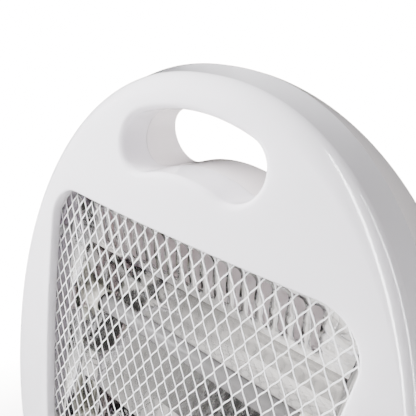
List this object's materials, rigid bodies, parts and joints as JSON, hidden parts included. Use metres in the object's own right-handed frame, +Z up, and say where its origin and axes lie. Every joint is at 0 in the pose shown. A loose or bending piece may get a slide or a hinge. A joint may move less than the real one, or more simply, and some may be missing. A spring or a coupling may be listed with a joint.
{
  "type": "quartz heater",
  "caption": "Portable quartz heater: white oval housing with a handle slot, a bowed wire guard over quartz tubes in a folded reflector, rocker switches and an oval base.",
  "frame": {"origin": "on the floor under the middle of the oval base", "axes": "+Z up through the handle, -Y out of the front guard, +X across to the right as seen from the front"},
  "size_m": [0.2454, 0.126, 0.3565],
  "materials": {
    "white_plastic": "smooth moulded white plastic with a soft gloss",
    "guard_enamel": "pale enamelled expanded steel mesh",
    "polished_aluminium": "thin polished reflector sheet, slightly wavy",
    "milky_quartz": "milky translucent quartz glass",
    "cream_ceramic": "unglazed cream steatite",
    "black_plastic": "black moulded plastic, fine satin",
    "steel": "bright zinc-plated steel",
    "galvanised_steel": "dull galvanised sheet",
    "black_rubber": "matt black rubber",
    "resistance_wire": "dark oxidised resistance wire",
    "glass_braid": "cream glass-fibre braid sleeve"
  },
  "bodies": {
    "heater": {"front_frame": "white_plastic", "rear_shell": "white_plastic", "base": "white_plastic", "base_plate": "black_plastic", "rubber_foot_front_left": "black_rubber", "rubber_foot_front_right": "black_rubber", "rubber_foot_rear_left": "black_rubber", "rubber_foot_rear_right": "black_rubber", "mesh_guard": "guard_enamel", "reflector": "polished_aluminium", "reflector_end_left": "polished_aluminium", "reflector_end_right": "polished_aluminium", "quartz_tube_upper": "milky_quartz", "quartz_tube_lower": "milky_quartz", "heating_coil_upper": "resistance_wire", "heating_coil_lower": "resistance_wire", "tube_cap_upper_left": "cream_ceramic", "tube_cap_upper_right": "cream_ceramic", "tube_cap_lower_left": "cream_ceramic", "tube_cap_lower_right": "cream_ceramic", "terminal_pin_upper_left": "steel", "terminal_pin_upper_right": "steel", "terminal_pin_lower_left": "steel", "terminal_pin_lower_right": "steel", "common_wire": "glass_braid", "cutout_lead": "glass_braid", "lead_upper": "glass_braid", "lead_lower": "glass_braid", "feed_wire_left": "glass_braid", "feed_wire_right": "glass_braid", "tip_lead": "glass_braid", "heat_shield": "galvanised_steel", "thermal_cutout": "black_plastic", "terminal_block": "white_plastic", "cord_gland": "black_plastic", "switch_housing_left": "black_plastic", "switch_housing_right": "black_plastic", "tip_switch_body": "black_plastic", "shell_screw_1": "steel", "shell_screw_2": "steel", "shell_screw_3": "steel", "shell_screw_4": "steel", "shell_screw_5": "steel", "shell_screw_6": "steel", "flange_screw_1": "steel", "flange_screw_2": "steel", "flange_screw_3": "steel", "flange_screw_4": "steel", "base_screw_1": "steel", "base_screw_2": "steel", "base_screw_3": "steel", "base_screw_4": "steel", "body_screw_left": "steel", "body_screw_right": "steel"},
    "left_rocker": {"rocker_left": "black_plastic"},
    "right_rocker": {"rocker_right": "black_plastic"},
    "plunger": {"tip_plunger": "black_plastic"}
  },
  "joints": [
    {"name": "left_rocker_tilt", "type": "hinge", "parent": "heater", "child": "left_rocker", "pos_m": [-0.022, -0.02648, 0.06012], "axis": [1, 0, 0], "range_deg": [0, 16]},
    {"name": "right_rocker_tilt", "type": "hinge", "parent": "heater", "child": "right_rocker", "pos_m": [0.022, -0.02648, 0.06012], "axis": [1, 0, 0], "range_deg": [0, 16]},
    {"name": "tip_plunger_slide", "type": "slide", "parent": "heater", "child": "plunger", "axis": [0, 0, 1], "range_m": [-0.004, 0], "stiffness_N_per_m": 60, "springref_m": -0.004}
  ]
}
